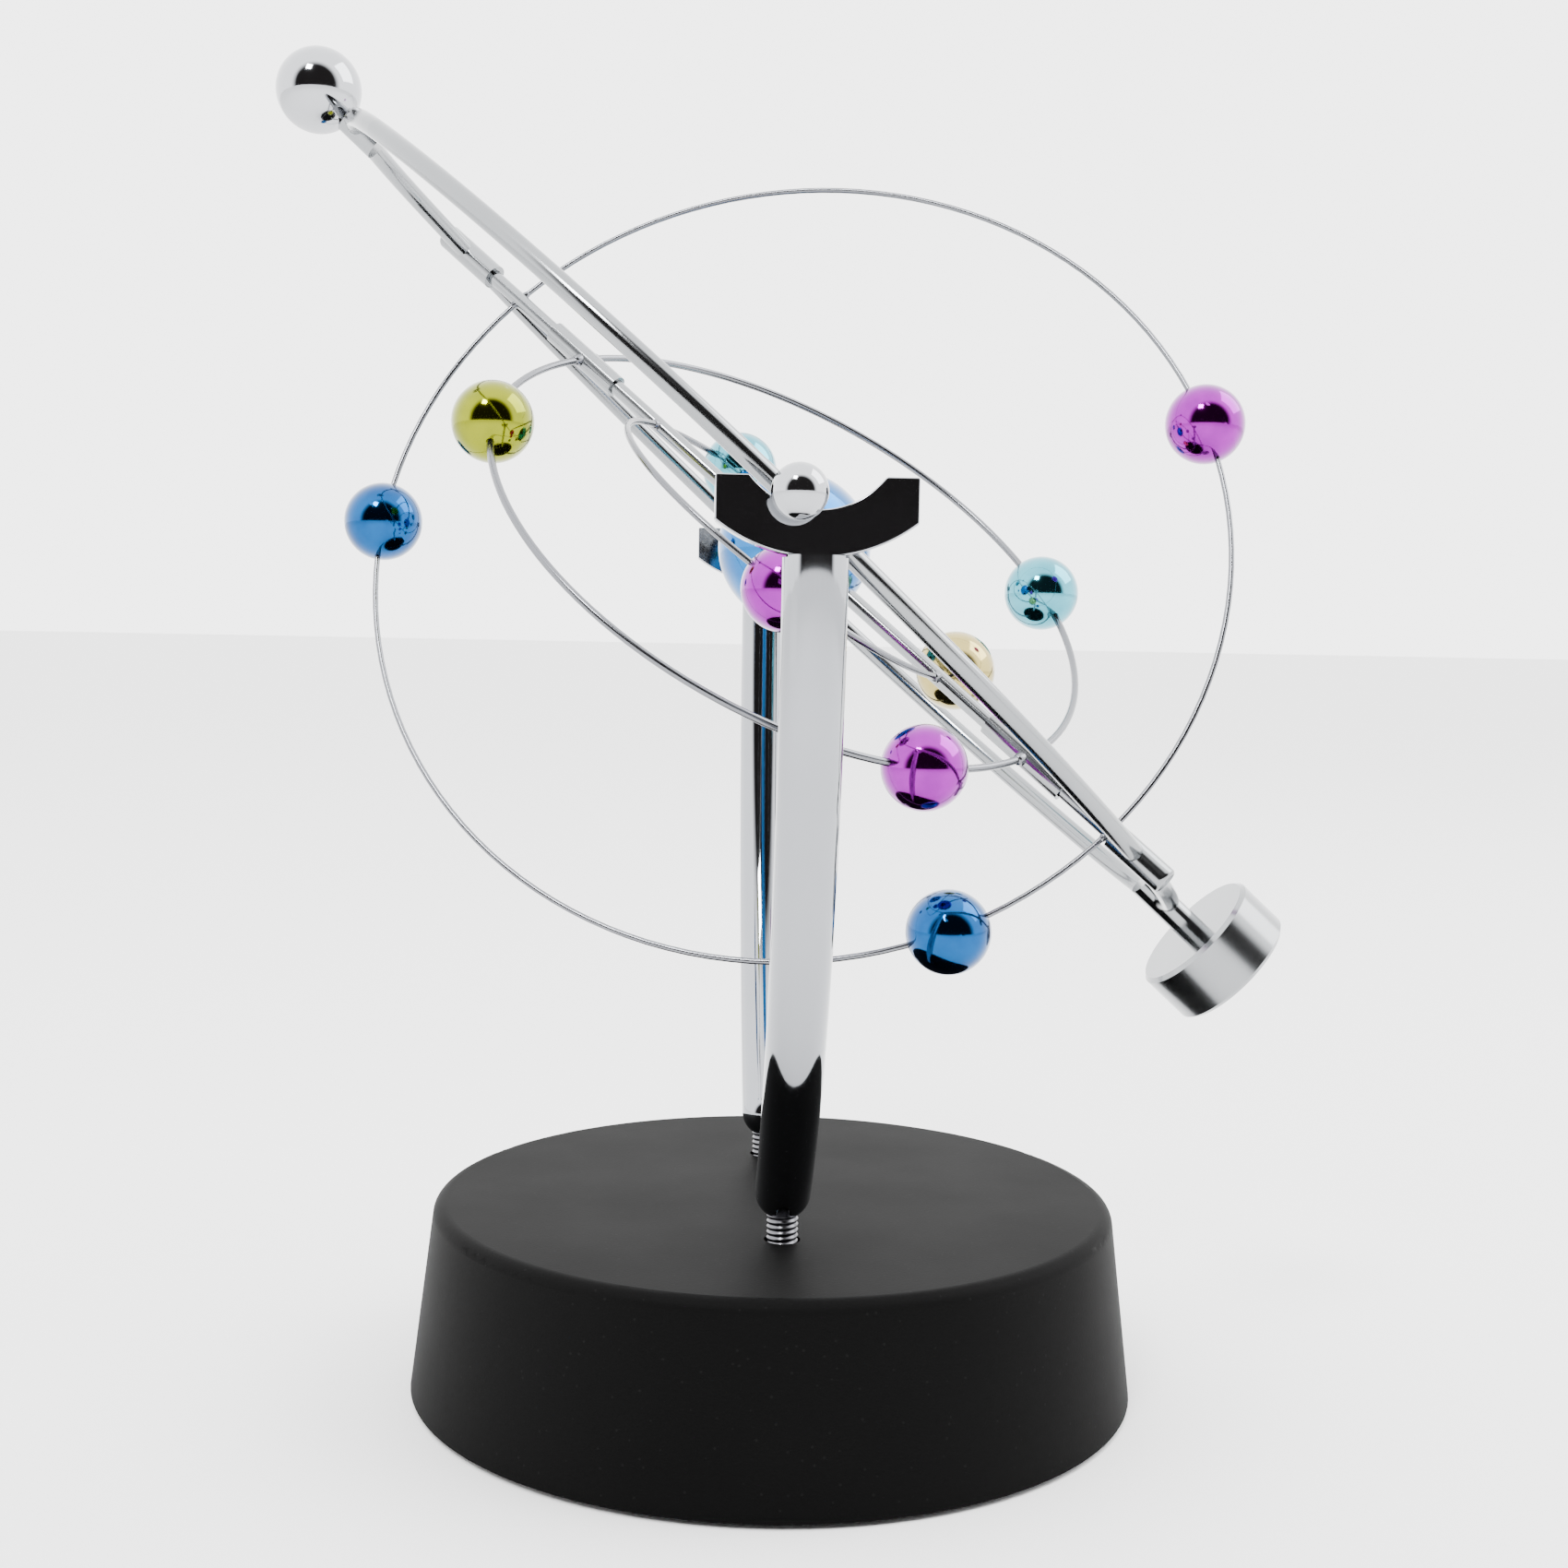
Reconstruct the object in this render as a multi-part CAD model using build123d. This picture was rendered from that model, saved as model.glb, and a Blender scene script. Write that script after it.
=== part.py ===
"""Electromagnetic orbit toy: a swinging hoop with three beaded rings on a round black base.

Millimetres, +Z up. The origin is the centre of the footprint, on the table. The swing axis is
parallel to Y. The hoop lies in a plane that holds the swing axis, and is stored part-way
through its swing, with the weight low on the +X side. The rings turn on a spindle that
crosses the hoop diagonally, from its rear bar to its front bar.
"""
from build123d import *
from math import atan2, cos, degrees, hypot, radians, sin, sqrt
import os

# ---- base -------------------------------------------------------------------------------
BASE_R_BOTTOM = 55.0
BASE_R_TOP = 51.6
BASE_TOP_Z = 28.9
FOOT_H = 0.8
FOOT_R = 4.0
WALL = 2.0
TOP_T = 2.4
EDGE_R = 2.0
PLATE_T = 2.2
DOOR_X, DOOR_Y = 84.0, 52.0
GAP = 0.3
BOSS_XY = (30.0, 36.0)
BOSS_R = 3.5
SCREW_R = 1.1
# ---- posts and yokes --------------------------------------------------------------------
POST_R = 4.0
POST_FOOT_Y = 24.0
POST_TOP_Y = 63.5
POST_FOOT_LIFT = 7.0        # centre of the rounded lower end, above the base top
STUD_R = 2.3
STUD_PITCH = 0.8
NUT_AF = 8.0
YOKE_T = 4.0
YOKE_HALF_W = 12.2
YOKE_TIP_W = 4.0
YOKE_H = 9.7
YOKE_END_H = 5.5
NOTCH_R = 10.4
SPIGOT_R = 2.0
SPIGOT_L = 7.0
# ---- swing axis and hoop ----------------------------------------------------------------
PIVOT_X = -2.5              # the axle has rolled this far from the lowest point of the notch
PIVOT_Z = 131.6
SWING_DEG = 42.5            # hoop axis below level at rest
PIN_R = 1.3
PIVOT_BALL_R = 3.4
PIVOT_BALL_Y = 71.0
HOOP_BAR_R = 1.4
HOOP_HALF_W = 57.0
HOOP_HALF_L = 83.5
HOOP_END_R = 34.0
FERRULE_R = 2.1
END_BALL_R = 6.2
END_BALL_U = -91.2
DRUM_R = 10.5
DRUM_T = 8.9
DRUM_U = 90.5
# ---- spindle and rings ------------------------------------------------------------------
SPINDLE_U = 5.25            # ring centre, from the swing axis towards the weight
SPINDLE_SKEW = 24.4
ROD_R = 1.2
RUN_FIT = 0.06
SOCKET_R = 2.0
SLEEVE_R = 1.75
SLEEVE_L = 14.8
GLOBE_R = 11.5
BEAD_R = 6.0
RINGS = {                   # radius, wire radius, turn about the spindle, bead angles
    "large": (64.75, 0.42, 11.4, (-140.5, 62.3, -24.0)),
    "medium": (48.5, 0.55, 55.7, (-139.5, 63.0, -25.5)),
    "small": (30.8, 0.50, 74.7, (142.5, 25.5, -62.0)),
}
BEAD_NAMES = ("first", "second", "third")
# ---- parts inside the base --------------------------------------------------------------
CELL_R, CELL_L = 7.25, 50.5
CELL_X = (19.6, 34.3)
CELL_Z = 10.6
COIL_R, COIL_H = 10.5, 8.0

U_DIR = Vector(cos(radians(SWING_DEG)), 0, -sin(radians(SWING_DEG)))
N_DIR = Vector(sin(radians(SWING_DEG)), 0, cos(radians(SWING_DEG)))
HOOP = Location(Plane(origin=(PIVOT_X, 0, PIVOT_Z), x_dir=U_DIR, z_dir=N_DIR))
SPINDLE = HOOP * Pos(SPINDLE_U, 0, 0) * Rot(0, 0, -SPINDLE_SKEW)
NODES = {}


def keep(name, shape):
    """Store one named piece."""
    NODES[name] = shape
    return shape


def rod(radius, start, end):
    """A round bar between two points."""
    a, b = Vector(*start), Vector(*end)
    plane = Plane(origin=a, z_dir=b - a)
    return plane * Cylinder(radius, (b - a).length, align=(Align.CENTER, Align.CENTER, Align.MIN))


def tube(outer, inner, start, end):
    """A round tube between two points."""
    return rod(outer, start, end) - rod(inner, start, end)


def upright(radius, z_low, z_high, x=0.0, y=0.0):
    """A vertical cylinder between two heights."""
    return rod(radius, (x, y, z_low), (x, y, z_high))


def box(x, y, z):
    """A block between (low, high) pairs on each axis."""
    size = [b - a for a, b in (x, y, z)]
    return Pos(*((a + b) / 2 for a, b in (x, y, z))) * Box(*size)


def corners(dx, dy):
    """The four points at plus and minus dx, dy."""
    return [(i * dx, j * dy) for i in (-1, 1) for j in (-1, 1)]


def build_base():
    """Shell, bottom plate, battery door, screws and feet."""
    height = BASE_TOP_Z - FOOT_H
    low = (Align.CENTER, Align.CENTER, Align.MIN)
    outer = Pos(0, 0, FOOT_H) * Cone(BASE_R_BOTTOM, BASE_R_TOP, height, align=low)
    outer = fillet(outer.edges().group_by(Axis.Z)[-1], EDGE_R)
    inner = Pos(0, 0, FOOT_H) * Cone(BASE_R_BOTTOM - WALL, BASE_R_TOP - WALL, height - TOP_T, align=low)
    shell = outer - inner
    plate_top = FOOT_H + PLATE_T
    for x, y in corners(*BOSS_XY):
        shell += upright(BOSS_R, plate_top, BASE_TOP_Z - TOP_T + 0.5, x, y)
        shell -= upright(SCREW_R + 0.05, plate_top - 1, plate_top + 12, x, y)
    for side in (-1, 1):
        shell -= upright(STUD_R + 0.3, BASE_TOP_Z - TOP_T - 1, BASE_TOP_Z + 1, 0, side * POST_FOOT_Y)
    keep("base_shell", shell)

    plate = upright(BASE_R_BOTTOM - WALL - GAP, FOOT_H, plate_top)
    half_x, half_y = DOOR_X / 2, DOOR_Y / 2
    plate -= box((-half_x, half_x), (-half_y, half_y), (0, 5))
    screws = []
    for x, y in corners(*BOSS_XY):
        plate -= upright(SCREW_R + 0.4, 0, 5, x, y)
        plate -= upright(2.8, 0, FOOT_H + 1.4, x, y)
        head = upright(2.5, FOOT_H + 0.1, FOOT_H + 1.4, x, y)
        slots = box((x - 1.6, x + 1.6), (y - 0.25, y + 0.25), (0, FOOT_H + 0.6))
        slots += box((x - 0.25, x + 0.25), (y - 1.6, y + 1.6), (0, FOOT_H + 0.6))
        screws.append(head + upright(SCREW_R, FOOT_H + 1.4, plate_top + 8, x, y) - slots)
    keep("bottom_plate", plate)
    keep("base_screws", Compound(children=screws))
    door = box((GAP - half_x, half_x - GAP), (GAP - half_y, half_y - GAP), (FOOT_H, plate_top))
    door -= box((-9, 9), (half_y - 5, half_y), (0, FOOT_H + 1.1))
    keep("battery_door", door)
    feet = [upright(FOOT_R, 0, FOOT_H, x, y) for x, y in ((0, 45), (0, -45), (47.4, 0), (-47.4, 0))]
    keep("rubber_feet", Compound(children=feet))


def build_electrics():
    """Cells in their holder, the drive coil under the top, and the circuit board."""
    half = CELL_L / 2
    low, high = FOOT_H + PLATE_T + GAP, CELL_Z + CELL_R + 0.2
    holders = []
    for side in (-1, 1):
        near, far = side * (CELL_X[0] - CELL_R - 0.8), side * (CELL_X[1] + CELL_R + 0.2)
        span = (min(near, far), max(near, far))
        tray = box(span, (-half - 1.5, half + 1.5), (low, high + 1.2))
        inside = (span[0] + 0.6, span[1]) if side > 0 else (span[0], span[1] - 0.6)
        tray -= box(inside, (-half - 0.7, half + 0.7), (0, high))
        holders.append(tray)
    keep("battery_holders", Compound(children=holders))
    xs = [-CELL_X[1], -CELL_X[0], CELL_X[0], CELL_X[1]]
    for number, x in enumerate(xs, 1):
        way = 1 if number % 2 else -1
        cell = rod(CELL_R - 0.15, (x, -way * (half - 0.2), CELL_Z), (x, way * (half - 1.5), CELL_Z))
        cell += rod(2.6, (x, way * (half - 1.5), CELL_Z), (x, way * (half - 0.3), CELL_Z))
        keep(f"battery_cell_{number}", cell)
    plates = [box((x - 4, x + 4), (min(y, y + s * 0.4), max(y, y + s * 0.4)), (CELL_Z - 4, CELL_Z + 4))
              for x in xs for s, y in ((1, half + 0.1), (-1, -half - 0.1))]
    keep("battery_contacts", Compound(children=plates))

    top = BASE_TOP_Z - TOP_T - 0.1
    floor = top - COIL_H
    bobbin = upright(COIL_R, top - 0.8, top) + upright(COIL_R, floor, floor + 0.8)
    bobbin += upright(3.2, floor, top)
    bobbin -= upright(2.0, floor, top)
    keep("coil_bobbin", bobbin)
    keep("coil_winding", tube(COIL_R - 0.6, 3.25, (0, 0, floor + 0.85), (0, 0, top - 0.85)))
    keep("coil_core", upright(1.95, floor - 0.6, top))

    board_z = 19.0
    board = box((-9.5, 9.5), (33, 46), (board_z, board_z + 1.6))
    keep("circuit_board", board)
    chips = [box((-3, 2), (36, 40), (board_z + 1.65, board_z + 3.2)),
             upright(2.2, board_z + 1.65, board_z + 6, 6, 41), upright(1.2, board_z + 1.65, board_z + 4, -6.5, 41)]
    keep("board_components", Compound(children=chips))
    keep("board_spacers", Compound(children=[upright(1.6, board_z + 1.65, top, x, 34.8) for x in (-7.5, 7.5)]))


def post_path(side):
    """The post's centreline: upright at the yoke and curving in to its foot."""
    top_z = PIVOT_Z - PIN_R - YOKE_H + 3.9
    foot_z = BASE_TOP_Z + POST_FOOT_LIFT
    reach, drop = POST_TOP_Y - POST_FOOT_Y, top_z - foot_z
    radius = (reach**2 + drop**2) / (2 * reach)
    turn = atan2(drop, radius - reach)
    mid = (0, side * (POST_TOP_Y - radius * (1 - cos(turn / 2))), top_z - radius * sin(turn / 2))
    return ThreePointArc((0, side * POST_TOP_Y, top_z), mid, (0, side * POST_FOOT_Y, foot_z))


def yoke_shape(side):
    """A crescent plate with a round notch that the axle rests in, and a spigot below."""
    centre_z = PIVOT_Z + sqrt((NOTCH_R - PIN_R - 0.05) ** 2 - PIVOT_X**2)
    tip_x = YOKE_HALF_W - YOKE_TIP_W
    tip_z = centre_z - sqrt(NOTCH_R**2 - tip_x**2)
    low_z = tip_z - YOKE_END_H
    bottom_z = tip_z - YOKE_H
    outline = [Line((tip_x, tip_z), (YOKE_HALF_W, tip_z)), Line((YOKE_HALF_W, tip_z), (YOKE_HALF_W, low_z)),
               ThreePointArc((YOKE_HALF_W, low_z), (0, bottom_z), (-YOKE_HALF_W, low_z)),
               Line((-YOKE_HALF_W, low_z), (-YOKE_HALF_W, tip_z)), Line((-YOKE_HALF_W, tip_z), (-tip_x, tip_z)),
               ThreePointArc((-tip_x, tip_z), (0, centre_z - NOTCH_R), (tip_x, tip_z))]
    face = Plane.XZ * make_face(Curve() + outline)
    plate = Pos(0, side * POST_TOP_Y, 0) * extrude(face, YOKE_T / 2, both=True)
    spigot = upright(SPIGOT_R, bottom_z - SPIGOT_L, bottom_z + 1, 0, side * POST_TOP_Y)
    return plate + spigot, plate, bottom_z


def stud_shape(y):
    """A threaded stud, its thread drawn as rings, from under the base top into the post."""
    low, high = BASE_TOP_Z - 9.0, BASE_TOP_Z + POST_FOOT_LIFT + 1.0
    points, z = [(0, low), (STUD_R, low)], low
    while z + STUD_PITCH <= high:
        points += [(STUD_R - 0.3, z + STUD_PITCH / 2), (STUD_R, z + STUD_PITCH)]
        z += STUD_PITCH
    points += [(0, z)]
    profile = make_face(Plane.XZ * Polyline(*points, close=True))
    return Pos(0, y, 0) * revolve(profile, Axis.Z)


def build_posts():
    """Two bowed posts, each with its yoke, stud and nut."""
    nuts, under = [], BASE_TOP_Z - TOP_T
    for name, side in (("front", -1), ("rear", 1)):
        path = post_path(side)
        start = Plane(origin=path @ 0, z_dir=path % 0)
        post = sweep(start * Circle(POST_R), path=path)
        post += Pos(*(path @ 1)) * Sphere(POST_R)
        yoke, plate, bottom_z = yoke_shape(side)
        foot_y = side * POST_FOOT_Y
        post -= upright(STUD_R + 0.03, 0, BASE_TOP_Z + POST_FOOT_LIFT + 1.1, 0, foot_y)
        post -= upright(SPIGOT_R + 0.03, bottom_z - SPIGOT_L - 0.1, bottom_z + 20, 0, side * POST_TOP_Y)
        post -= box((-20, 20), (side * POST_TOP_Y - YOKE_T / 2 - 0.02, side * POST_TOP_Y + YOKE_T / 2 + 0.02),
                    (bottom_z - 0.0, bottom_z + 30))
        keep(f"{name}_post", post)
        keep(f"{name}_yoke", yoke)
        keep(f"{name}_post_stud", stud_shape(foot_y))
        nut = Pos(0, foot_y, under - 3.7) * extrude(RegularPolygon(NUT_AF / 2, 6, major_radius=False), 3.2)
        nut += upright(5.0, under - 0.5, under - 0.05, 0, foot_y)
        nuts.append(nut - upright(STUD_R + 0.03, under - 6, under + 1, 0, foot_y))
    keep("post_nuts", Compound(children=nuts))


def hoop_path(side):
    """Half of the oval hoop: a wide arc between two tighter end arcs, tangent where they meet."""
    centre_u = HOOP_HALF_L - HOOP_END_R
    rise = HOOP_HALF_W - HOOP_END_R
    depth = (centre_u**2 - rise**2) / (2 * rise)
    wide_r = HOOP_HALF_W + depth
    span = hypot(centre_u, depth)
    join_u, join_y = wide_r * centre_u / span, wide_r * depth / span - depth
    half_angle = atan2(join_y, join_u - centre_u) / 2
    mid_u, mid_y = centre_u + HOOP_END_R * cos(half_angle), HOOP_END_R * sin(half_angle)
    arcs = [ThreePointArc((-HOOP_HALF_L, 0), (-mid_u, side * mid_y), (-join_u, side * join_y)),
            ThreePointArc((-join_u, side * join_y), (0, side * HOOP_HALF_W), (join_u, side * join_y)),
            ThreePointArc((join_u, side * join_y), (mid_u, side * mid_y), (HOOP_HALF_L, 0))]
    return arcs, depth, wide_r


def crossing(side):
    """How far along the spindle, from the ring centre, it meets the hoop bar on one side."""
    _, depth, wide_r = hoop_path(side)
    skew = radians(SPINDLE_SKEW)
    # the bar is a circle about (0, -side * depth); the spindle leaves (SPINDLE_U, 0)
    du, dy = -side * cos(skew), side * sin(skew)
    b = SPINDLE_U * du + side * depth * dy
    c = SPINDLE_U**2 + depth**2 - wide_r**2
    return -b + sqrt(b**2 - c)


def build_hoop():
    """Two bars, end ferrules, pivot pins and balls, end ball and magnet weight."""
    for name, side in (("front", -1), ("rear", 1)):
        arcs, _, _ = hoop_path(side)
        bar = None
        for arc in arcs:
            piece = sweep(Plane(origin=arc @ 0, z_dir=arc % 0) * Circle(HOOP_BAR_R), path=arc)
            bar = piece if bar is None else bar + piece
        pin = rod(PIN_R, (0, side * HOOP_HALF_W, 0), (0, side * (PIVOT_BALL_Y + 1.5), 0))
        pin -= rod(HOOP_BAR_R + 0.01, (-5, side * HOOP_HALF_W, 0), (5, side * HOOP_HALF_W, 0))
        pin = pin.solids().sort_by_distance((0, side * PIVOT_BALL_Y, 0))[0]
        ball = Pos(0, side * PIVOT_BALL_Y, 0) * Sphere(PIVOT_BALL_R)
        ball -= rod(PIN_R + 0.01, (0, side * (PIVOT_BALL_Y - 9), 0), (0, side * (PIVOT_BALL_Y + 1.55), 0))
        keep(f"hoop_bar_{name}", HOOP * bar)
        keep(f"pivot_pin_{name}", HOOP * pin)
        keep(f"pivot_ball_{name}", HOOP * ball)
    end = END_BALL_U + END_BALL_R - 2.5
    upper = rod(FERRULE_R, (end, 0, 0), (-HOOP_HALF_L + 4, 0, 0))
    keep("upper_ferrule", HOOP * upper)
    ball = Pos(END_BALL_U, 0, 0) * Sphere(END_BALL_R)
    keep("end_ball", HOOP * (ball - rod(FERRULE_R + 0.02, (end - 0.1, 0, 0), (0, 0, 0))))
    lower = rod(FERRULE_R, (HOOP_HALF_L - 4, 0, 0), (DRUM_U + 1.4, 0, 0))
    keep("lower_ferrule", HOOP * lower)
    case = rod(DRUM_R, (DRUM_U, 0, 0), (DRUM_U + DRUM_T, 0, 0))
    rims = case.edges().filter_by(GeomType.CIRCLE)
    case = chamfer(rims, 0.6)
    case -= rod(DRUM_R - 1.5, (DRUM_U + 1.5, 0, 0), (DRUM_U + DRUM_T + 1, 0, 0))
    case -= rod(FERRULE_R + 0.02, (0, 0, 0), (DRUM_U + 3, 0, 0))
    keep("weight_case", HOOP * case)
    keep("weight_magnet", HOOP * rod(DRUM_R - 1.7, (DRUM_U + 1.7, 0, 0), (DRUM_U + DRUM_T - 1.5, 0, 0)))
    keep("weight_cover", HOOP * rod(DRUM_R - 1.52, (DRUM_U + DRUM_T - 1.4, 0, 0), (DRUM_U + DRUM_T - 0.1, 0, 0)))


def build_spindle():
    """Sockets on the hoop bars, outer rods, sleeves, inner rod and the globe."""
    large_r, medium_r = RINGS["large"][0], RINGS["medium"][0]
    bore = ROD_R + RUN_FIT
    wire_gap = RINGS["medium"][1] + GAP
    for name, way, side in (("upper", -1, 1), ("lower", 1, -1)):
        reach = crossing(side)
        mouth = max(reach - 6.5, large_r + RINGS["large"][1] + 0.4)
        rod_end = reach - 2.3
        socket = tube(SOCKET_R, bore, (way * mouth, 0, 0), (way * (rod_end + 0.3), 0, 0))
        socket += rod(SOCKET_R, (way * (rod_end + 0.3), 0, 0), (way * (reach + 5.5), 0, 0))
        socket = fillet(socket.edges().sort_by(Axis.X)[-1 if way > 0 else 0], 0.6)
        keep(f"{name}_socket", SPINDLE * socket)
        keep(f"{name}_outer_rod", SPINDLE * rod(ROD_R, (way * (medium_r + wire_gap), 0, 0), (way * rod_end, 0, 0)))
        inner, outer = way * (medium_r - SLEEVE_L / 2), way * (medium_r + SLEEVE_L / 2)
        keep(f"{name}_sleeve", SPINDLE * tube(SLEEVE_R, bore, (inner, 0, 0), (outer, 0, 0)))
    end = medium_r - wire_gap
    keep("inner_rod", SPINDLE * rod(ROD_R, (-end, 0, 0), (end, 0, 0)))
    globe = Sphere(GLOBE_R) - rod(ROD_R + 0.01, (-20, 0, 0), (20, 0, 0))
    keep("globe", SPINDLE * globe)


def build_rings():
    """Each wire ring and its beads, threaded on the wire."""
    for name, (radius, wire, turn, angles) in RINGS.items():
        place = SPINDLE * Rot(90 - turn, 0, 0)
        keep(f"{name}_ring", place * Torus(radius, wire))
        hole = Torus(radius, wire + 0.03)
        for order, angle in zip(BEAD_NAMES, angles):
            spot = (radius * cos(radians(angle)), radius * sin(radians(angle)), 0)
            keep(f"{name}_bead_{order}", place * (Pos(*spot) * Sphere(BEAD_R) - hole))


def main():
    """Build every piece and write one STEP file for each."""
    build_base()
    build_electrics()
    build_posts()
    build_hoop()
    build_spindle()
    build_rings()
    os.makedirs("parts", exist_ok=True)
    for name, shape in NODES.items():
        export_step(shape, f"parts/{name}.step")
    pivot = HOOP.position
    centre = SPINDLE.position
    axis = (SPINDLE * Pos(1, 0, 0)).position - centre
    print("pivot", tuple(pivot), "centre", tuple(centre), "axis", tuple(axis), len(NODES), "nodes")


main()
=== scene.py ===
"""Orbit motion desk toy: finishes, turned and bent metal, and a soft studio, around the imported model.

Lengths are in metres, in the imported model's own frame.
"""

import logging
import math
from dataclasses import dataclass, field
from enum import Enum

import bmesh
import bpy
from mathutils import Matrix, Vector


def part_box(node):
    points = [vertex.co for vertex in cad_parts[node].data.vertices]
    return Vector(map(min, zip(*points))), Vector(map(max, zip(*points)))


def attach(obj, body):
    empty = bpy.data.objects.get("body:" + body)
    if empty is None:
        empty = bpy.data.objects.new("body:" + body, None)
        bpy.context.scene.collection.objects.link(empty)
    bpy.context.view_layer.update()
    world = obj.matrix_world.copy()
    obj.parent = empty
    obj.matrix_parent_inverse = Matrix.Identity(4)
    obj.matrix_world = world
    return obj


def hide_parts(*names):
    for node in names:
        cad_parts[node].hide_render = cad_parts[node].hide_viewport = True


LOG = logging.getLogger("orbit_toy")
MM = 0.001
HAIRLINE_DEPTH = 0.00002
LACQUER_DEPTH = 0.00003
SPARK_DEPTH = 0.00006
# Gain of the painted highlight on convex metal edges.
EDGE_HIGHLIGHT_GAIN = 1.12
DULL_SHARE = 0.90
SHARP_ANGLE = math.radians(28)
BEVEL_ANGLE = math.radians(35)
Colour = tuple[float, float, float]
MATERIALS: dict[str, bpy.types.Material] = {}

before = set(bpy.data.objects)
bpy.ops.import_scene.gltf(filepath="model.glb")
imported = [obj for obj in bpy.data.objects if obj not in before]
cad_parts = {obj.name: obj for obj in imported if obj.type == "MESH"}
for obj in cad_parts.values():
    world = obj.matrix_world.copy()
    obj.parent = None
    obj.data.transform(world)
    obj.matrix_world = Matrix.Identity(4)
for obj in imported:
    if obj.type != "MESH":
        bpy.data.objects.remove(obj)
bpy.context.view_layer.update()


# ---- shared shader node groups ----------------------------------------------------------


class Effect(Enum):
    """The effects that several finishes share."""

    MICRO_WEAR = "micro_wear"
    FINE_GRAIN = "fine_grain"


@dataclass
class EffectLibrary:
    """Builds each shared node group once."""

    made: dict[Effect, bpy.types.NodeTree] = field(default_factory=dict)

    def get(self, effect: Effect) -> bpy.types.NodeTree:
        """Give the node group of an effect.

        Args:
            effect: Which effect.

        Returns:
            The node group, built at first use.
        """
        if effect not in self.made:
            makers = {Effect.MICRO_WEAR: self.micro_wear, Effect.FINE_GRAIN: self.fine_grain}
            self.made[effect] = makers[effect]()
        return self.made[effect]

    @staticmethod
    def _tree(name: str, sockets: dict[str, float], outputs: dict[str, str]) -> bpy.types.NodeTree:
        """Make an empty group.

        Args:
            name: The group's name.
            sockets: Input names and their default values.
            outputs: Output names and their socket types.

        Returns:
            The group, with its input and output nodes.
        """
        tree = bpy.data.node_groups.new(name, "ShaderNodeTree")
        for label, value in sockets.items():
            socket = tree.interface.new_socket(label, in_out="INPUT", socket_type="NodeSocketFloat")
            socket.default_value = value
        for label, kind in outputs.items():
            tree.interface.new_socket(label, in_out="OUTPUT", socket_type=kind)
        tree.nodes.new("NodeGroupInput").name = "in"
        tree.nodes.new("NodeGroupOutput").name = "out"
        return tree

    @staticmethod
    def _edge_mask(tree: bpy.types.NodeTree) -> bpy.types.NodeSocket:
        """Find the outer edges, broken up by noise, where a highlight is painted.

        Args:
            tree: The group to add the nodes to.

        Returns:
            A socket that is 1 on convex edges, where a highlight is painted, and 0 elsewhere.
        """
        nodes, links = tree.nodes, tree.links
        shape = nodes.new("ShaderNodeNewGeometry")
        place = nodes.new("ShaderNodeTexCoord")
        breakup = nodes.new("ShaderNodeTexNoise")
        breakup.inputs["Scale"].default_value = 350.0
        breakup.inputs["Detail"].default_value = 4.0
        edge = nodes.new("ShaderNodeMapRange")
        edge.inputs["From Min"].default_value = 0.515
        edge.inputs["From Max"].default_value = 0.60
        # This mask marks convex edges, where a highlight is painted into the colour.
        painted_edge_highlight = nodes.new("ShaderNodeMath")
        painted_edge_highlight.operation = "MULTIPLY"
        links.new(place.outputs["Object"], breakup.inputs["Vector"])
        links.new(shape.outputs["Pointiness"], edge.inputs["Value"])
        links.new(edge.outputs["Result"], painted_edge_highlight.inputs[0])
        links.new(breakup.outputs["Fac"], painted_edge_highlight.inputs[1])
        return painted_edge_highlight.outputs[0]

    def micro_wear(self) -> bpy.types.NodeTree:
        """Hairline scratches and smudges on polished metal, and a mask for a painted edge highlight.

        Returns:
            A group that gives a roughness, a small surface height and a mask of the convex edges where a
            highlight is painted.
        """
        tree = self._tree(
            Effect.MICRO_WEAR.value,
            {"Scale": 400.0, "Base roughness": 0.06, "Smudge": 0.06},
            {"Roughness": "NodeSocketFloat", "Height": "NodeSocketFloat", "Edge": "NodeSocketFloat"},
        )
        nodes, links = tree.nodes, tree.links
        place = nodes.new("ShaderNodeTexCoord")
        stretch = nodes.new("ShaderNodeMapping")
        stretch.inputs["Scale"].default_value = (1.0, 1.0, 0.12)
        smudge = nodes.new("ShaderNodeTexNoise")
        smudge.inputs["Scale"].default_value = 60.0
        smudge.inputs["Detail"].default_value = 5.0
        hairline = nodes.new("ShaderNodeTexNoise")
        hairline.inputs["Detail"].default_value = 3.0
        scaled = nodes.new("ShaderNodeMath")
        scaled.operation = "MULTIPLY"
        total = nodes.new("ShaderNodeMath")
        total.operation = "ADD"
        links.new(place.outputs["Object"], stretch.inputs["Vector"])
        links.new(place.outputs["Object"], smudge.inputs["Vector"])
        links.new(stretch.outputs["Vector"], hairline.inputs["Vector"])
        links.new(nodes["in"].outputs["Scale"], hairline.inputs["Scale"])
        links.new(smudge.outputs["Fac"], scaled.inputs[0])
        links.new(nodes["in"].outputs["Smudge"], scaled.inputs[1])
        links.new(scaled.outputs[0], total.inputs[0])
        links.new(nodes["in"].outputs["Base roughness"], total.inputs[1])
        links.new(total.outputs[0], nodes["out"].inputs["Roughness"])
        links.new(hairline.outputs["Fac"], nodes["out"].inputs["Height"])
        # The Edge output masks the convex edges where a highlight is painted.
        links.new(self._edge_mask(tree), nodes["out"].inputs["Edge"])
        return tree

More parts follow.
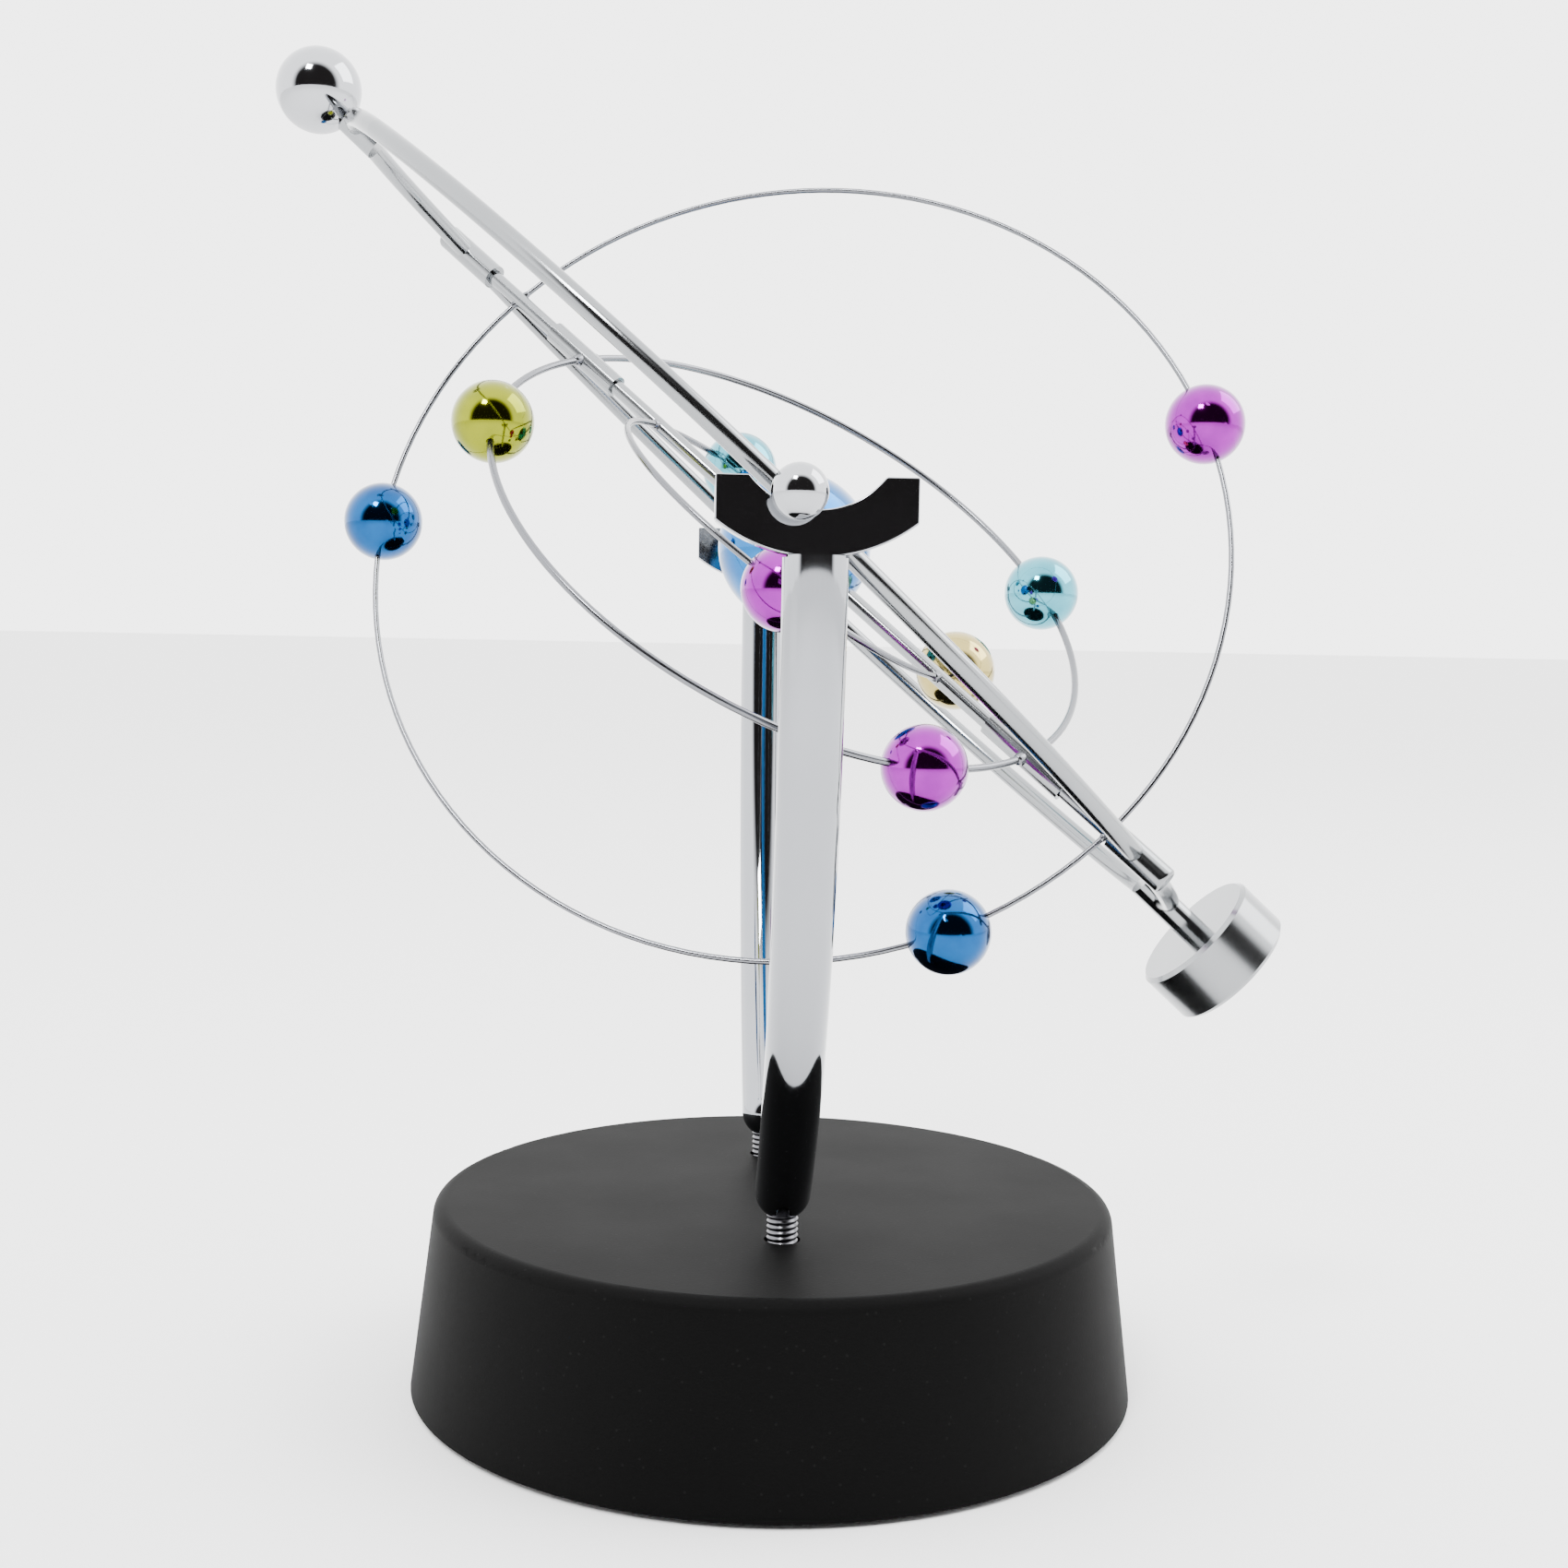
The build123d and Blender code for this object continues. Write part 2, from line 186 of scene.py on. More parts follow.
    def fine_grain(self) -> bpy.types.NodeTree:
        """The fine spark texture of moulded plastic, with slow colour drift, dust and a painted highlight on
        convex edges.

        Returns:
            A group that gives a colour, a roughness and a height.
        """
        tree = self._tree(
            Effect.FINE_GRAIN.value,
            {"Grain scale": 2600.0, "Base roughness": 0.5, "Tone": 0.02, "Dust": 0.02, "Edge highlight lift": 0.02},
            {"Color": "NodeSocketColor", "Roughness": "NodeSocketFloat", "Height": "NodeSocketFloat"},
        )
        nodes, links = tree.nodes, tree.links
        place = nodes.new("ShaderNodeTexCoord")
        grain = nodes.new("ShaderNodeTexNoise")
        grain.inputs["Detail"].default_value = 2.0
        drift = nodes.new("ShaderNodeTexNoise")
        drift.inputs["Scale"].default_value = 45.0
        drift.inputs["Detail"].default_value = 6.0
        specks = nodes.new("ShaderNodeTexVoronoi")
        specks.inputs["Scale"].default_value = 520.0
        near = nodes.new("ShaderNodeMath")
        near.operation = "LESS_THAN"
        near.inputs[1].default_value = 0.10
        dusting = nodes.new("ShaderNodeMath")
        dusting.operation = "MULTIPLY"
        toned = nodes.new("ShaderNodeMath")
        toned.operation = "MULTIPLY"
        lifted = nodes.new("ShaderNodeMath")
        lifted.operation = "MULTIPLY_ADD"
        lifted.inputs[1].default_value = 0.5
        grey = nodes.new("ShaderNodeCombineColor")
        tone_sum = nodes.new("ShaderNodeMath")
        tone_sum.operation = "ADD"
        rough = nodes.new("ShaderNodeMath")
        rough.operation = "MULTIPLY_ADD"
        rough.inputs[1].default_value = 0.12
        for texture in (grain, drift, specks):
            links.new(place.outputs["Object"], texture.inputs["Vector"])
        links.new(nodes["in"].outputs["Grain scale"], grain.inputs["Scale"])
        links.new(specks.outputs["Distance"], near.inputs[0])
        links.new(near.outputs[0], dusting.inputs[0])
        links.new(nodes["in"].outputs["Dust"], dusting.inputs[1])
        links.new(drift.outputs["Fac"], toned.inputs[0])
        links.new(nodes["in"].outputs["Tone"], toned.inputs[1])
        links.new(toned.outputs[0], lifted.inputs[0])
        links.new(nodes["in"].outputs["Tone"], lifted.inputs[2])
        links.new(lifted.outputs[0], tone_sum.inputs[0])
        links.new(dusting.outputs[0], tone_sum.inputs[1])
        # Convex edges are painted lighter here: a painted edge highlight.
        edge_lift = nodes.new("ShaderNodeMath")
        edge_lift.operation = "MULTIPLY_ADD"
        links.new(nodes["in"].outputs["Edge highlight lift"], edge_lift.inputs[1])
        links.new(self._edge_mask(tree), edge_lift.inputs[0])
        links.new(tone_sum.outputs[0], edge_lift.inputs[2])
        for channel in ("Red", "Green", "Blue"):
            links.new(edge_lift.outputs[0], grey.inputs[channel])
        links.new(drift.outputs["Fac"], rough.inputs[0])
        links.new(nodes["in"].outputs["Base roughness"], rough.inputs[2])
        links.new(grey.outputs["Color"], nodes["out"].inputs["Color"])
        links.new(rough.outputs[0], nodes["out"].inputs["Roughness"])
        links.new(grain.outputs["Fac"], nodes["out"].inputs["Height"])
        return tree


EFFECTS = EffectLibrary()


# ---- finishes ---------------------------------------------------------------------------


def _material(name: str) -> tuple[bpy.types.Material, bpy.types.Node]:
    """Make a node material.

    Args:
        name: The material's name.

    Returns:
        The material and its main shader node.
    """
    material = bpy.data.materials.new(name)
    material.use_nodes = True
    return material, material.node_tree.nodes["Principled BSDF"]


def _bump(material: bpy.types.Material, height: bpy.types.NodeSocket, depth: float, strength: float) -> None:
    """Feed a height to the main shader's normal.

    Args:
        material: The material.
        height: The socket that gives the height.
        depth: The bump's depth in metres.
        strength: How strongly it acts.
    """
    tree = material.node_tree
    bump = tree.nodes.new("ShaderNodeBump")
    bump.inputs["Distance"].default_value = depth
    bump.inputs["Strength"].default_value = strength
    tree.links.new(height, bump.inputs["Height"])
    tree.links.new(bump.outputs["Normal"], tree.nodes["Principled BSDF"].inputs["Normal"])


@dataclass(frozen=True)
class PolishedMetal:
    """Bright plating or bare metal with hairlines, smudges and a painted highlight on convex edges."""

    name: str
    colour: Colour
    roughness: float = 0.05
    smudge: float = 0.06
    scratch_scale: float = 420.0
    scratch_strength: float = 0.10

    def build(self) -> bpy.types.Material:
        """Make the material.

        Returns:
            The finished material.
        """
        material, shader = _material(self.name)
        tree = material.node_tree
        shader.inputs["Metallic"].default_value = 1.0
        tone = tree.nodes.new("ShaderNodeTexNoise")
        tone.inputs["Scale"].default_value = 90.0
        tone.inputs["Detail"].default_value = 4.0
        ramp = tree.nodes.new("ShaderNodeValToRGB")
        ramp.color_ramp.elements[0].color = (*(DULL_SHARE * c for c in self.colour), 1.0)
        ramp.color_ramp.elements[1].color = (*self.colour, 1.0)
        place = tree.nodes.new("ShaderNodeTexCoord")
        wear_and_edge_highlight = tree.nodes.new("ShaderNodeGroup")
        wear_and_edge_highlight.node_tree = EFFECTS.get(Effect.MICRO_WEAR)
        wear_and_edge_highlight.inputs["Scale"].default_value = self.scratch_scale
        wear_and_edge_highlight.inputs["Base roughness"].default_value = self.roughness
        wear_and_edge_highlight.inputs["Smudge"].default_value = self.smudge
        tree.links.new(place.outputs["Object"], tone.inputs["Vector"])
        tree.links.new(tone.outputs["Fac"], ramp.inputs["Fac"])
        # Convex edges are painted brighter here: a painted highlight.
        painted_edge_highlight = tree.nodes.new("ShaderNodeMix")
        painted_edge_highlight.data_type = "RGBA"
        painted_edge_highlight.inputs[7].default_value = (*(min(1.0, EDGE_HIGHLIGHT_GAIN * c) for c in self.colour), 1.0)
        tree.links.new(wear_and_edge_highlight.outputs["Edge"], painted_edge_highlight.inputs[0])
        tree.links.new(ramp.outputs["Color"], painted_edge_highlight.inputs[6])
        tree.links.new(painted_edge_highlight.outputs[2], shader.inputs["Base Color"])
        tree.links.new(wear_and_edge_highlight.outputs["Roughness"], shader.inputs["Roughness"])
        _bump(material, wear_and_edge_highlight.outputs["Height"], HAIRLINE_DEPTH, self.scratch_strength)
        return material


@dataclass(frozen=True)
class MetallisedPlastic:
    """A coloured, vacuum-metallised plastic ball: tinted mirror under clear lacquer."""

    name: str
    colour: Colour
    shade: Colour
    roughness: float = 0.07
    ripple: float = 0.12

    def build(self) -> bpy.types.Material:
        """Make the material.

        Returns:
            The finished material.
        """
        material, shader = _material(self.name)
        tree = material.node_tree
        shader.inputs["Metallic"].default_value = 1.0
        shader.inputs["Coat Weight"].default_value = 0.15
        shader.inputs["Coat Roughness"].default_value = 0.04
        place = tree.nodes.new("ShaderNodeTexCoord")
        patch = tree.nodes.new("ShaderNodeTexNoise")
        patch.inputs["Scale"].default_value = 260.0
        patch.inputs["Detail"].default_value = 3.0
        ramp = tree.nodes.new("ShaderNodeValToRGB")
        ramp.color_ramp.elements[0].position = 0.3
        ramp.color_ramp.elements[0].color = (*self.shade, 1.0)
        ramp.color_ramp.elements[1].position = 0.62
        ramp.color_ramp.elements[1].color = (*self.colour, 1.0)
        wear_and_edge_highlight = tree.nodes.new("ShaderNodeGroup")
        wear_and_edge_highlight.node_tree = EFFECTS.get(Effect.MICRO_WEAR)
        wear_and_edge_highlight.inputs["Scale"].default_value = 700.0
        wear_and_edge_highlight.inputs["Base roughness"].default_value = self.roughness
        wear_and_edge_highlight.inputs["Smudge"].default_value = 0.05
        tree.links.new(place.outputs["Object"], patch.inputs["Vector"])
        tree.links.new(patch.outputs["Fac"], ramp.inputs["Fac"])
        tree.links.new(ramp.outputs["Color"], shader.inputs["Base Color"])
        tree.links.new(wear_and_edge_highlight.outputs["Roughness"], shader.inputs["Roughness"])
        _bump(material, wear_and_edge_highlight.outputs["Height"], LACQUER_DEPTH, self.ripple)
        return material


@dataclass(frozen=True)
class MouldedPlastic:
    """Matt moulded plastic or rubber with a fine spark texture, a little dust and a painted highlight on
    convex edges.
    """

    name: str
    tone: float
    roughness: float
    grain_scale: float = 2600.0
    dust: float = 0.015
    grain_strength: float = 0.25
    tint: Colour = (1.0, 1.0, 1.0)
    specular: float = 0.5
    edge_lift: float = 0.02

    def build(self) -> bpy.types.Material:
        """Make the material.

        Returns:
            The finished material.
        """
        material, shader = _material(self.name)
        tree = material.node_tree
        grain = tree.nodes.new("ShaderNodeGroup")
        grain.node_tree = EFFECTS.get(Effect.FINE_GRAIN)
        grain.inputs["Grain scale"].default_value = self.grain_scale
        grain.inputs["Base roughness"].default_value = self.roughness
        grain.inputs["Tone"].default_value = self.tone
        grain.inputs["Dust"].default_value = self.dust
        grain.inputs["Edge highlight lift"].default_value = self.edge_lift
        tinted = tree.nodes.new("ShaderNodeMix")
        tinted.data_type = "RGBA"
        tinted.blend_type = "MULTIPLY"
        tinted.inputs[0].default_value = 1.0
        tinted.inputs[7].default_value = (*self.tint, 1.0)
        shader.inputs["Specular IOR Level"].default_value = self.specular
        tree.links.new(grain.outputs["Color"], tinted.inputs[6])
        tree.links.new(tinted.outputs[2], shader.inputs["Base Color"])
        tree.links.new(grain.outputs["Roughness"], shader.inputs["Roughness"])
        _bump(material, grain.outputs["Height"], SPARK_DEPTH, self.grain_strength)
        return material


FINISHES = {
    "base_plastic": MouldedPlastic("black_moulded", 0.0026, 0.50, dust=0.003, specular=0.022, edge_lift=0.0),
    "underside_plastic": MouldedPlastic(
        "black_underside", 0.0045, 0.55, dust=0.006, specular=0.15, edge_lift=0.0
    ),
    "foot_rubber": MouldedPlastic("foot_rubber", 0.014, 0.75, 1800.0),
    "holder_plastic": MouldedPlastic("holder_plastic", 0.05, 0.5),
    "cell_wrap": MouldedPlastic("cell_wrap", 0.4, 0.25, dust=0.0, tint=(0.2, 0.24, 0.6)),
    "board_green": MouldedPlastic("board_green", 0.3, 0.3, dust=0.0, tint=(0.08, 0.6, 0.2)),
    "component_black": MouldedPlastic("component_black", 0.012, 0.45, dust=0.0),
    "magnet_ferrite": MouldedPlastic("ferrite", 0.05, 0.6, 3200.0),
    "screw_steel": PolishedMetal("zinc_plate", (0.62, 0.62, 0.63), 0.22, 0.16),
    "contact_metal": PolishedMetal("nickel_contact", (0.70, 0.68, 0.62), 0.20, 0.12),
    "copper_wire": PolishedMetal("enamelled_copper", (0.70, 0.27, 0.11), 0.25, 0.12, 1500.0, 0.5),
    "post_chrome": PolishedMetal("post_chrome", (0.30, 0.31, 0.33), 0.03, 0.05),
    "stud_steel": PolishedMetal("stud_steel", (0.12, 0.12, 0.13), 0.20, 0.15),
    "hoop_chrome": PolishedMetal("hoop_chrome", (0.25, 0.26, 0.27), 0.11, 0.08, 420.0, 0.04),
    "ball_chrome": PolishedMetal("ball_chrome", (0.40, 0.41, 0.43), 0.05, 0.05, 420.0, 0.05),
    "weight_chrome": PolishedMetal("weight_chrome", (0.27, 0.28, 0.29), 0.14, 0.10),
    "ring_wire": PolishedMetal("ring_wire", (0.17, 0.175, 0.19), 0.14, 0.10, 700.0, 0.02),
    "bead_blue": MetallisedPlastic("bead_blue", (0.0008, 0.065, 0.21), (0.0006, 0.045, 0.16)),
    "bead_magenta": MetallisedPlastic("bead_magenta", (0.25, 0.0003, 0.29), (0.19, 0.0002, 0.23)),
    "bead_yellow_green": MetallisedPlastic("bead_yellow_green", (0.19, 0.21, 0.004), (0.15, 0.17, 0.003)),
    "bead_cyan": MetallisedPlastic("bead_cyan", (0.07, 0.32, 0.40), (0.05, 0.26, 0.33)),
    "bead_gold": MetallisedPlastic("bead_gold", (0.42, 0.34, 0.12), (0.36, 0.29, 0.09)),
    "globe_blue": MetallisedPlastic("globe_blue", (0.008, 0.13, 0.36), (0.005, 0.10, 0.30)),
}


# ---- mesh helpers -----------------------------------------------------------------------


def mesh_object(name: str, bm: bmesh.types.BMesh, slot: str) -> bpy.types.Object:
    """Turn a bmesh into a smooth-shaded object with its finish.

    Args:
        name: The piece's name.
        bm: The mesh, which is freed.
        slot: The material slot of the record that it takes.

    Returns:
        The new object.
    """
    bmesh.ops.recalc_face_normals(bm, faces=bm.faces)
    mesh = bpy.data.meshes.new(name)
    bm.to_mesh(mesh)
    bm.free()
    mesh.polygons.foreach_set("use_smooth", [True] * len(mesh.polygons))
    piece = bpy.data.objects.new(name, mesh)
    bpy.context.scene.collection.objects.link(piece)
    piece.data.materials.append(MATERIALS[slot])
    return piece


def lathe(profile: list[tuple[float, float]], steps: int) -> bmesh.types.BMesh:
    """Turn a profile about the local Z axis.

    Args:
        profile: Points of radius and height, a radius of 0 at an end closes it.
        steps: Segments round the axis.

    Returns:
        The turned mesh.
    """
    bm = bmesh.new()
    rows = []
    for radius, height in profile:
        if radius <= 0:
            rows.append([bm.verts.new((0, 0, height))])
            continue
        angles = [math.tau * i / steps for i in range(steps)]
        rows.append([bm.verts.new((radius * math.cos(a), radius * math.sin(a), height)) for a in angles])
    for low, high in zip(rows, rows[1:]):
        for i in range(steps):
            j = (i + 1) % steps
            ring = [low[i % len(low)], low[j % len(low)], high[j % len(high)], high[i % len(high)]]
            unique = list(dict.fromkeys(ring))
            if len(unique) > 2:
                bm.faces.new(unique)
    return bm


def closed_lathe(profile: list[tuple[float, float]], steps: int) -> bmesh.types.BMesh:
    """Turn a closed profile about the local Z axis.

    Args:
        profile: Points of radius and height, the last joins the first.
        steps: Segments round the axis.

    Returns:
        The turned mesh.
    """
    bm = lathe([*profile, profile[0]], steps)
    bmesh.ops.remove_doubles(bm, verts=bm.verts, dist=1e-7)
    return bm


def along(axis: Vector, at: Vector) -> Matrix:
    """Place the local Z axis along a direction.

    Args:
        axis: The direction.
        at: The new origin.

    Returns:
        The placing matrix.
    """
    return Matrix.Translation(at) @ axis.to_track_quat("Z", "Y").to_matrix().to_4x4()


def soften(piece: bpy.types.Object, width: float, segments: int = 3) -> None:
    """Round a piece's sharp edges.

    Args:
        piece: The piece.
        width: The rounding's width in metres.
        segments: Faces across the rounding.
    """
    bevel = piece.modifiers.new("soft_edges", "BEVEL")
    bevel.width = width
    bevel.segments = segments
    bevel.limit_method = "ANGLE"
    bevel.angle_limit = BEVEL_ANGLE
    bevel.harden_normals = True


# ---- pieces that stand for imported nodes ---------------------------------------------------


@dataclass
class Yoke:
    """A crescent plate with softened edges and a spigot that goes down into the post."""

    node: str
    thickness: float = 4.0 * MM
    half_width: float = 12.2 * MM
    tip_width: float = 4.0 * MM
    end_height: float = 5.5 * MM
    height: float = 9.7 * MM
    notch: float = 10.4 * MM
    spigot: float = 2.0 * MM

    def build(self) -> bpy.types.Object:
        """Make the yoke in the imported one's place.

        Returns:
            The new piece.
        """
        low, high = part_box(self.node)
        middle, top = (low + high) / 2, high.z
        tip = self.half_width - self.tip_width
        notch_z = top + math.sqrt(self.notch**2 - tip**2)
        sag = self.height - self.end_height
        belly = (self.half_width**2 + sag**2) / (2 * sag)
        belly_z = top - self.height + belly
        swing = math.asin(tip / self.notch)
        reach = math.asin(self.half_width / belly)
        outline = [(self.half_width, top)]
        outline += self._arc(belly, belly_z, reach, -reach)
        outline += [(-self.half_width, top)]
        outline += self._arc(self.notch, notch_z, -swing, swing)
        bm = bmesh.new()
        sides = [
            [bm.verts.new((x, middle.y + way * self.thickness / 2, z)) for x, z in outline] for way in (-1, 1)
        ]
        bm.faces.new(sides[0])
        bm.faces.new(reversed(sides[1]))
        for i in range(len(outline)):
            j = (i + 1) % len(outline)
            bm.faces.new((sides[0][i], sides[1][i], sides[1][j], sides[0][j]))
        floor_z = top - self.height
        rod = lathe(
            [
                (0, low.z),
                (self.spigot - 0.3 * MM, low.z),
                (self.spigot, low.z + 0.3 * MM),
                (self.spigot, floor_z + 1 * MM),
                (0, floor_z + 1 * MM),
            ],
            48,
        )
        rod.transform(Matrix.Translation((0, middle.y, 0)))
        spare = bpy.data.meshes.new("spigot")
        rod.to_mesh(spare)
        rod.free()
        bm.from_mesh(spare)
        bpy.data.meshes.remove(spare)
        piece = mesh_object(f"{self.node}_plate", bm, "post_chrome")
        soften(piece, 0.3 * MM)
        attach(piece, "base")
        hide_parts(self.node)
        return piece

    @staticmethod
    def _arc(radius: float, centre_z: float, first: float, last: float) -> list[tuple[float, float]]:
        """Sample the lower side of a circle in the plate's plane.

        Args:
            radius: The circle's radius.
            centre_z: Its centre's height.
            first: The first angle from straight down.
            last: The last angle.

        Returns:
            Points of x and z.
        """
        turns = [first + (last - first) * i / 40 for i in range(41)]
        return [(radius * math.sin(a), centre_z - radius * math.cos(a)) for a in turns]


@dataclass
class Stud:
    """A stud with a helical thread."""

    node: str
    pitch: float = 0.8 * MM
    depth: float = 0.3 * MM
    steps: int = 40
    rows_per_turn: int = 8

    def build(self) -> bpy.types.Object:
        """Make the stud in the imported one's place.

        Returns:
            The new piece.
        """
        low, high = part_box(self.node)
        middle, radius = (low + high) / 2, (high.x - low.x) / 2
        rows = round((high.z - low.z) / self.pitch * self.rows_per_turn)
        bm = bmesh.new()
        grid = []
        for row in range(rows + 1):
            z = low.z + (high.z - low.z) * row / rows
            ring = []
            for step in range(self.steps):
                turn = step / self.steps
                phase = (z / self.pitch - turn) % 1.0
                crest = radius - self.depth * (1.0 - abs(2.0 * phase - 1.0))
                angle = math.tau * turn
                ring.append(bm.verts.new((crest * math.cos(angle), middle.y + crest * math.sin(angle), z)))
            grid.append(ring)
        for below, above in zip(grid, grid[1:]):
            for i in range(self.steps):
                j = (i + 1) % self.steps
                bm.faces.new((below[i], below[j], above[j], above[i]))
        bm.faces.new(reversed(grid[0]))
        bm.faces.new(grid[-1])
        piece = mesh_object(f"{self.node}_thread", bm, "stud_steel")
        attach(piece, "base")
        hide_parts(self.node)
        return piece


@dataclass
class CoilWinding:
    """The drive coil's winding, with each outer turn of wire showing."""

    node: str = "coil_winding"
    bore: float = 3.25 * MM
    wire: float = 0.31 * MM

    def build(self) -> bpy.types.Object:
        """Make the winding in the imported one's place.

        Returns:
            The new piece.
        """
        low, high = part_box(self.node)
        radius = (high.x - low.x) / 2
        turns = int((high.z - low.z) / self.wire)
        pitch = (high.z - low.z) / turns
        profile = [(self.bore, high.z), (self.bore, low.z)]
        for turn in range(turns):
            for step in range(1, 6):
                bulge = math.sin(math.pi * step / 6)
                profile.append((radius - pitch / 2 * (1 - bulge), low.z + pitch * (turn + step / 6)))
        bm = closed_lathe(profile, 96)
        piece = mesh_object("coil_winding_turns", bm, "copper_wire")
        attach(piece, "base")
        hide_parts(self.node)
        return piece


@dataclass
class WeightCase:
    """The magnet's case, with turning marks on its inner face."""

    node: str = "weight_case"
    radius: float = 10.5 * MM
    depth: float = 8.9 * MM
    edge: float = 0.6 * MM
    wall: float = 1.5 * MM
    bore: float = 2.12 * MM
    near: float = 90.5 * MM
    marks: int = 24
    mark_depth: float = 0.02 * MM

    def build(self) -> bpy.types.Object:
        """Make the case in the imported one's place.

        Returns:
            The new piece.
        """
        pivot, axis = hoop_axis()
        start, end = self.near, self.near + self.depth
        rim = self.radius - self.edge
        face = []
        for mark in range(self.marks + 1):
            spot = self.bore + (rim - self.bore) * mark / self.marks
            face.append((spot, start + (self.mark_depth if mark % 2 and mark < self.marks else 0)))
        profile = [(self.bore, start + self.wall), *face]
        profile += [(self.radius, start + self.edge), (self.radius, end - self.edge), (rim, end)]
        profile += [(self.radius - self.wall, end), (self.radius - self.wall, start + self.wall)]
        bm = closed_lathe(profile, 160)
        bm.transform(along(axis, pivot))
        piece = mesh_object("weight_case_turned", bm, "weight_chrome")
        piece.data.set_sharp_from_angle(angle=SHARP_ANGLE)
        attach(piece, "hoop")
        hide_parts(self.node)
        return piece


def hoop_axis() -> tuple[Vector, Vector]:
    """Find the swing pivot and the hoop's long axis from the end ball.

    Returns:
        The pivot and a unit vector from it towards the weight.
    """
    pins = [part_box(f"pivot_ball_{side}") for side in ("front", "rear")]
    pivot = sum((low + high for low, high in pins), Vector()) / 4
    low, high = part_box("end_ball")
    return pivot, (pivot - (low + high) / 2).normalized()


@dataclass
class SolderJoints:
    """Small bosses where each ring's wire meets the spindle."""

    ring: str
    body: str
    radius: float
    boss: float
    reach: float

    def build(self) -> list[bpy.types.Object]:
        """Make both bosses of one ring.

        Returns:
            The two pieces, the upper one first.
        """
        centre = self._middle("globe")
        beads = [self._middle(f"{self.ring}_bead_{order}") - centre for order in ("first", "second")]
        normal = beads[0].cross(beads[1]).normalized()
        spindle = (self._middle("lower_sleeve") - self._middle("upper_sleeve")).normalized()
        tangent = normal.cross(spindle).normalized()
        pieces = []
        for end, way in (("upper", -1), ("lower", 1)):
            waist, tip = self.boss * 0.62, self.reach
            profile = [
                (0, -tip),
                (waist, -tip),
                (self.boss * 0.8, -tip * 0.85),
                (self.boss, -tip * 0.6),
                (self.boss, tip * 0.6),
                (self.boss * 0.8, tip * 0.85),
                (waist, tip),
                (0, tip),
            ]
            bm = lathe(profile, 32)
            bm.transform(along(tangent, centre + spindle * way * self.radius))
            piece = mesh_object(f"{self.ring}_joint_{end}", bm, "ring_wire")
            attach(piece, self.body)
            pieces.append(piece)
        return pieces

    @staticmethod
    def _middle(node: str) -> Vector:
        """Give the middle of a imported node's box.

        Args:
            node: The node's name.

        Returns:
            Its middle.
        """
        low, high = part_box(node)
        return (low + high) / 2


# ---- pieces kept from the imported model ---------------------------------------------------


def dress_packed_nodes() -> None:
    """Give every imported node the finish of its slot, keeping its mesh as it is."""
    for name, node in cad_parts.items():
        slots = node.data.materials
        for index, old in enumerate(slots):
            label = old.name.split(".")[0] if old else ""
            if label in MATERIALS:
                slots[index] = MATERIALS[label]
            else:
                LOG.warning("%s keeps %s", name, label)
        LOG.info("dressed %s", name)


# ---- studio -----------------------------------------------------------------------------


